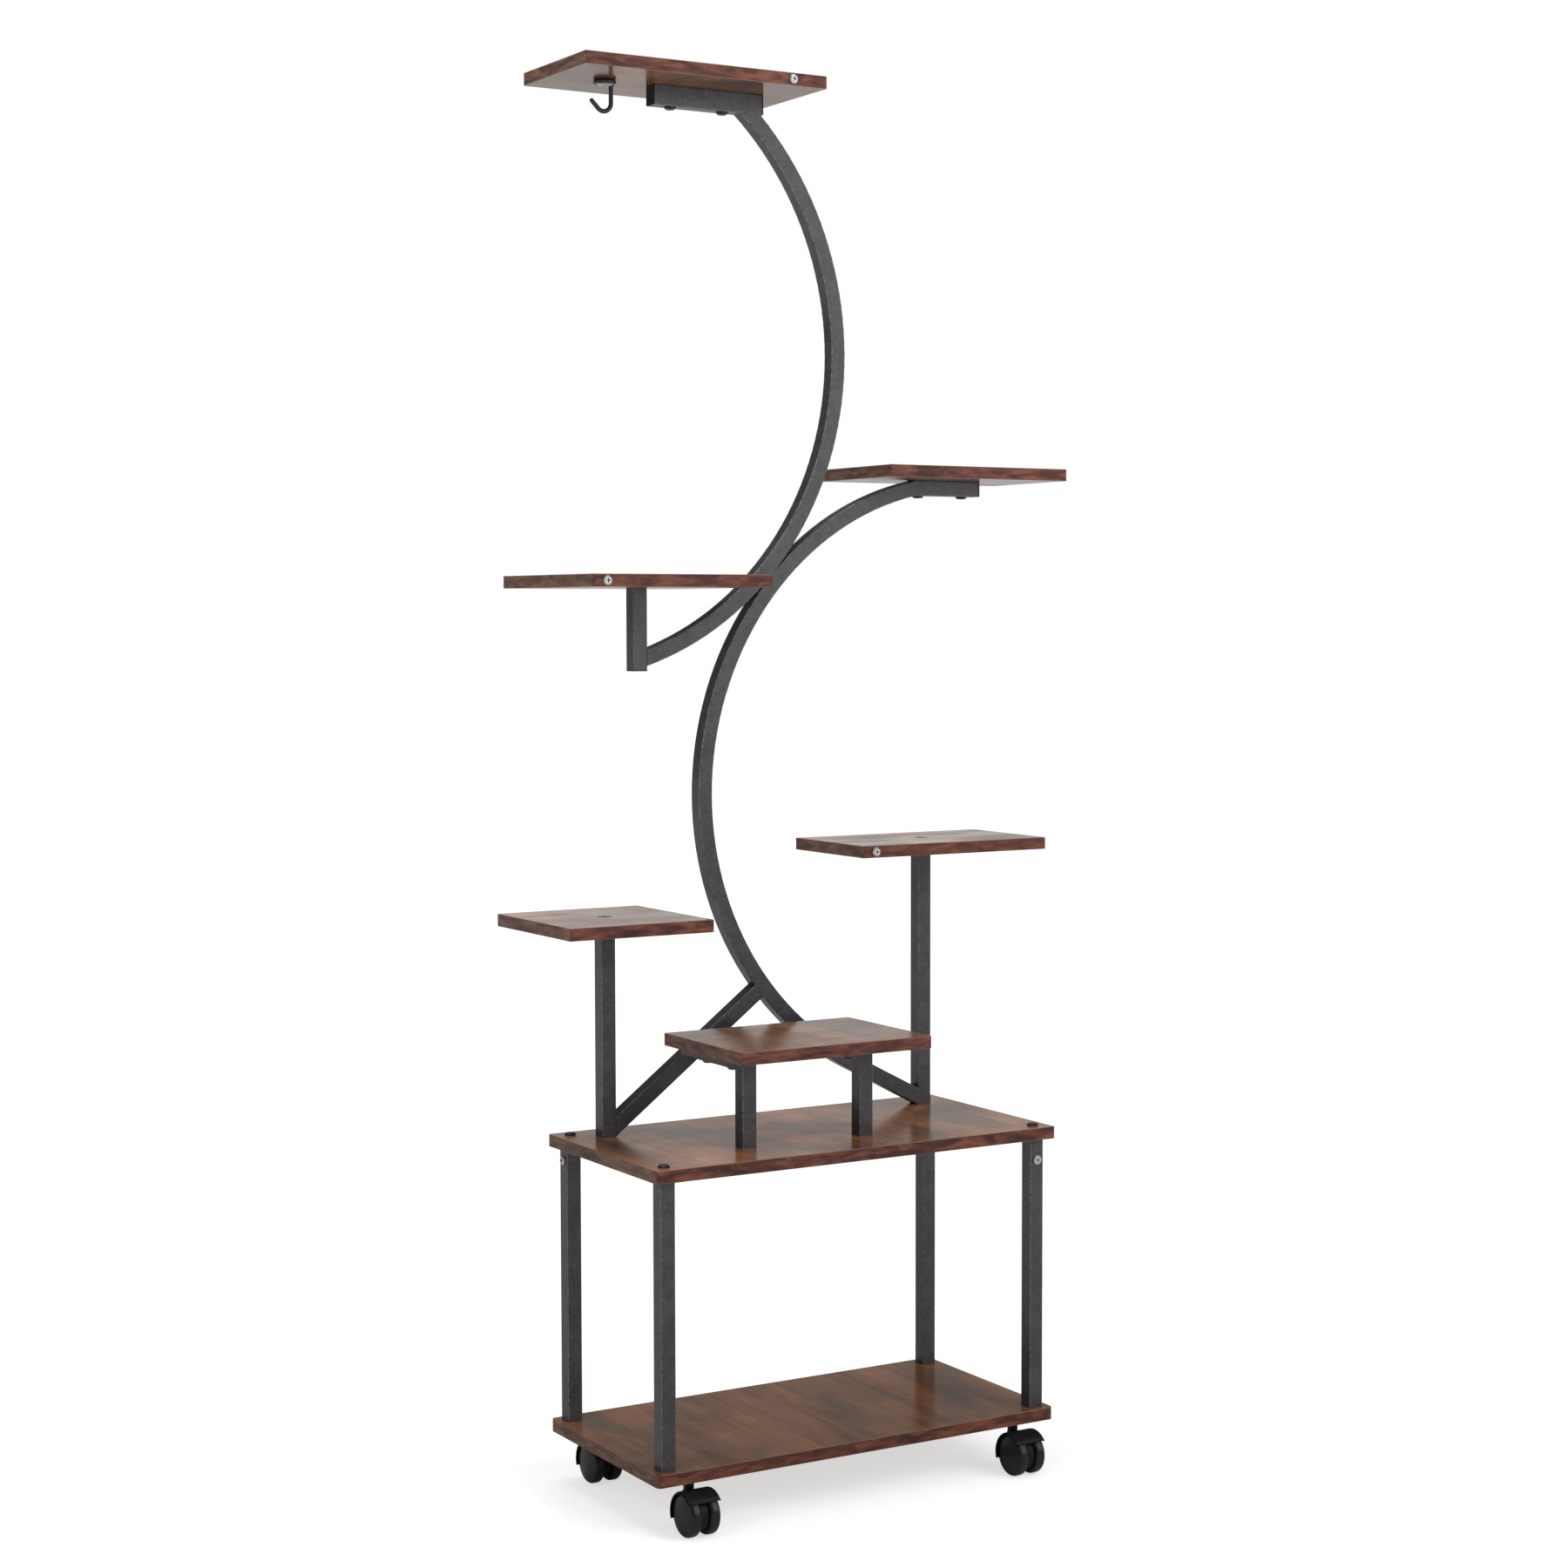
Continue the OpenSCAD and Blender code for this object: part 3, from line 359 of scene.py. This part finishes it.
coat = {
    "colour": (0.024, 0.0225, 0.027),
    "light": (0.046, 0.0435, 0.050),
    "lightRange": (0.40, 0.60),
    "corner": (0.170, 0.166, 0.176),      # painted highlight where the rounded corners catch the light
    "cornerFrom": (0.25, 0.55),           # how far round a corner the painted highlight begins and ends
    "cornerTo": (0.86, 0.97, 1, 0),
    "cornerWear": (0.35, 0.6, 0.3, 0.9),  # the painted highlight comes and goes with the speckle
    "roughness": (0.50, 0.60),
    "roughRange": (0.3, 0.7),
    "gloss": 0.3,
    "ior": 1.5,
    "clearWeight": 0.55,
    "clearRoughness": 0.24,
    "mottle": (38, 4, 0.6, 0),
    "mottleShare": 0.5,
    "speckle": (240, 3, 0.6, 0),
    "wrinkle": (420, 2, 0.5, 0),
    "grit": (1400, 2, 0.55, 0),
    "gritShare": 0.4,
    "bump": (0.22, 0.0003),
    "tubes": ["leg_front_left", "leg_front_right", "leg_back_left", "leg_back_right", "left_post",
              "right_post", "brace", "lower_arc", "lower_tail", "upper_arc", "left_riser",
              "right_bar", "top_bar", "bench_post_left", "bench_post_right", "bench_arm_left",
              "bench_arm_right"],
}


def powderCoat():
    material, tree, shader = newMaterial("powderCoat", **{
        "Specular IOR Level": coat["gloss"], "IOR": coat["ior"],
        "Coat Weight": coat["clearWeight"], "Coat Roughness": coat["clearRoughness"]})
    speckle = noise(tree, coat["speckle"])
    mottle = sumOf(tree, (noise(tree, coat["mottle"]), coat["mottleShare"]),
                   (speckle, 1 - coat["mottleShare"]))
    shade = mix(tree, between(tree, mottle, *coat["lightRange"]),
                colour(*coat["colour"]), colour(*coat["light"]))
    turnY = compute(tree, "ABSOLUTE", separate(tree, texture(tree, "Normal"))["Y"])
    # painted highlight: a lighter colour mixed in along the tubes' rounded corners
    corner = compute(tree, "MULTIPLY", between(tree, turnY, *coat["cornerFrom"]),
                     between(tree, turnY, *coat["cornerTo"]))
    corner = compute(tree, "MULTIPLY", corner, between(tree, speckle, *coat["cornerWear"]))
    tree.links.new(mix(tree, corner, shade, colour(*coat["corner"])),
                   shader.inputs["Base Color"])
    tree.links.new(between(tree, mottle, *coat["roughRange"], *coat["roughness"]),
                   shader.inputs["Roughness"])
    wrinkles = sumOf(tree, (noise(tree, coat["grit"]), coat["gritShare"]),
                     (noise(tree, coat["wrinkle"]), 1.0))
    bump(tree, shader, wrinkles, *coat["bump"])
    return material


tubeCoat = powderCoat()
for name in coat["tubes"]:
    dress(name, tubeCoat)
print("tubes:", len(coat["tubes"]))


# black bolts, the hook, and bright screws

metal = {
    "black": (0.012, 0.012, 0.013),
    "blackLight": (0.028, 0.028, 0.03),
    "blackRange": (0.3, 0.75),
    "blackMetallic": 0.25,
    "blackRoughness": 0.34,
    "blackGloss": 0.5,
    "grime": (160, 3, 0.6, 0),
    "blackGrain": (1500, 2, 0.5, 0),
    "blackBump": (0.12, 0.0002),
    "blackPieces": ["leg_bolts_upper", "leg_bolts_lower", "foot_bolts", "shelf_bolts", "bar_bolts",
                    "arm_bolts", "plant_hook"],
    "bright": (0.72, 0.72, 0.71),
    "dull": (0.55, 0.55, 0.54),
    "brightRange": (0.3, 0.7),
    "brightRoughness": (0.42, 0.56),
    "brushed": (520, 3, 0.6, 0),
    "recess": (0.04, 0.04, 0.04),         # painted shade: the dark inside of the screws' crosses
    "recessDepth": 0.003,
    "recessRange": (0.55, 0.95),
    "recessSamples": 8,
    "brightPieces": ["edge_screws", "hook_screw", "caster_inserts"],
}


def blackZinc():
    material, tree, shader = newMaterial("blackZinc", **{
        "Metallic": metal["blackMetallic"], "Roughness": metal["blackRoughness"],
        "Specular IOR Level": metal["blackGloss"]})
    grime = between(tree, noise(tree, metal["grime"]), *metal["blackRange"])
    tree.links.new(mix(tree, grime, colour(*metal["black"]), colour(*metal["blackLight"])),
                   shader.inputs["Base Color"])
    bump(tree, shader, noise(tree, metal["blackGrain"]), *metal["blackBump"])
    return material


def zincPlate():
    material, tree, shader = newMaterial("zincPlate", **{"Metallic": 1.0})
    brushed = noise(tree, metal["brushed"])
    plate = mix(tree, between(tree, brushed, *metal["brightRange"]),
                colour(*metal["bright"]), colour(*metal["dull"]))
    # painted shade: ambient occlusion darkens the colour in the crosses and other recesses
    openness = addNode(tree, "ShaderNodeAmbientOcclusion", {"Distance": metal["recessDepth"]},
                       samples=metal["recessSamples"]).outputs["AO"]
    tree.links.new(mix(tree, between(tree, openness, *metal["recessRange"]),
                       colour(*metal["recess"]), plate), shader.inputs["Base Color"])
    tree.links.new(between(tree, brushed, *metal["brightRange"], *metal["brightRoughness"]),
                   shader.inputs["Roughness"])
    return material


blackSteel = blackZinc()
brightSteel = zincPlate()
for name in metal["blackPieces"]:
    dress(name, blackSteel)
for name in metal["brightPieces"]:
    dress(name, brightSteel)
print("bolts and screws")


# moulded plastic: plugs, caps and casters

moulded = {
    "body": (0.0045, 0.0045, 0.005),
    "bodyRoughness": (0.52, 0.60),
    "bodyGloss": 0.25,
    "tread": (0.0050, 0.0048, 0.005),
    "treadRoughness": (0.27, 0.36),
    "treadGloss": 0.42,
    "ior": 1.5,
    "cloudy": (60, 3, 0.55, 0),
    "cloudyRange": (0.3, 0.7),
    "cloudyLight": 1.7,                   # the lighter patches against the shade
    "grain": (1800, 2, 0.5, 0),
    "bump": (0.12, 0.0002),
    "ends": ["leg_plugs", "post_plugs", "tube_caps"],
    "casters": ["fl", "fr", "bl", "br"],
}


def plastic(name, shade, roughness, gloss):
    material, tree, shader = newMaterial(name, **{
        "Specular IOR Level": gloss, "IOR": moulded["ior"]})
    cloudy = noise(tree, moulded["cloudy"])
    light = [c * moulded["cloudyLight"] for c in shade]
    tree.links.new(mix(tree, between(tree, cloudy, *moulded["cloudyRange"]),
                       colour(*shade), colour(*light)), shader.inputs["Base Color"])
    tree.links.new(between(tree, cloudy, *moulded["cloudyRange"], *roughness),
                   shader.inputs["Roughness"])
    bump(tree, shader, noise(tree, moulded["grain"]), *moulded["bump"])
    return material


nylon = plastic("mouldedNylon", moulded["body"], moulded["bodyRoughness"], moulded["bodyGloss"])
wheelNylon = plastic("wheelNylon", moulded["tread"], moulded["treadRoughness"],
                     moulded["treadGloss"])
for name in moulded["ends"]:
    dress(name, nylon)
for place in moulded["casters"]:
    dress("caster_%s_body" % place, nylon)
    dress("caster_%s_stem" % place, blackSteel)
    dress("caster_%s_axle" % place, brightSteel)
    for side in ["left", "right"]:
        dress("caster_%s_wheel_%s" % (place, side), wheelNylon)
print("casters:", len(moulded["casters"]))
